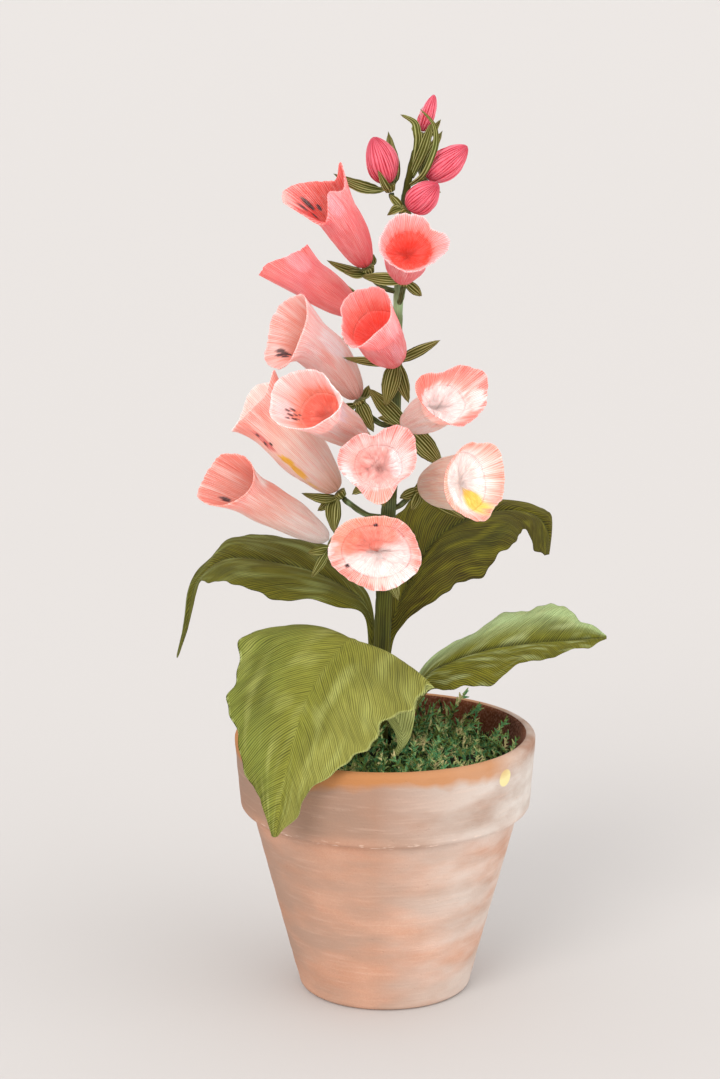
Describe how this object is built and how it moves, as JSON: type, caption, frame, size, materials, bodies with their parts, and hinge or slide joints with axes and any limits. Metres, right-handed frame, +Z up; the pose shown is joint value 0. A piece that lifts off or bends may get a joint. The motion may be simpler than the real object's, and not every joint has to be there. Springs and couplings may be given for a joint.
{
  "type": "potted paper foxglove",
  "caption": "Foxglove spike of crepe paper bells and buds with broad paper leaves, standing in a moss-topped terracotta pot with a thick rim band.",
  "frame": {"origin": "centre of the pot's underside, on the surface that the pot stands on", "axes": "+Z up along the pot's axis; -Y is the side that faces the viewer, with the front leaf over the rim; +X is the viewer's right"},
  "size_m": [0.1547, 0.1222, 0.3206],
  "materials": {
    "terracotta": "matt fired clay with pale lime bloom",
    "floral_foam": "matt open-cell foam",
    "dried_moss": "matt loose fibres",
    "floral_tape": "waxed crepe tape over wire, soft sheen",
    "leaf_crepe": "matt crepe with fine ridges",
    "coral_crepe": "matt crepe with fine ridges",
    "rose_crepe": "matt crepe with fine ridges",
    "peach_crepe": "matt crepe with fine ridges",
    "blush_crepe": "matt crepe with fine ridges",
    "bud_crepe": "matt crepe with fine ridges"
  },
  "bodies": {
    "root": {"bell_01": "coral_crepe", "bell_02": "coral_crepe", "bell_03": "coral_crepe", "bell_04": "coral_crepe", "bell_05": "rose_crepe", "bell_06": "rose_crepe", "bell_07": "peach_crepe", "bell_08": "blush_crepe", "bell_09": "blush_crepe", "bell_10": "peach_crepe", "bell_11": "peach_crepe", "bell_12": "blush_crepe", "bud_1": "bud_crepe", "bud_2": "bud_crepe", "bud_3": "bud_crepe", "bud_4": "bud_crepe", "calyx_01": "leaf_crepe", "calyx_02": "leaf_crepe", "calyx_03": "leaf_crepe", "calyx_04": "leaf_crepe", "calyx_05": "leaf_crepe", "calyx_06": "leaf_crepe", "calyx_07": "leaf_crepe", "calyx_08": "leaf_crepe", "calyx_09": "leaf_crepe", "calyx_10": "leaf_crepe", "calyx_11": "leaf_crepe", "calyx_12": "leaf_crepe", "calyx_13": "leaf_crepe", "calyx_14": "leaf_crepe", "calyx_15": "leaf_crepe", "calyx_16": "leaf_crepe", "foam": "floral_foam", "leaf_back": "leaf_crepe", "leaf_front": "leaf_crepe", "leaf_left": "leaf_crepe", "leaf_right": "leaf_crepe", "moss": "dried_moss", "pot": "terracotta", "stem": "floral_tape"}
  },
  "joints": []
}
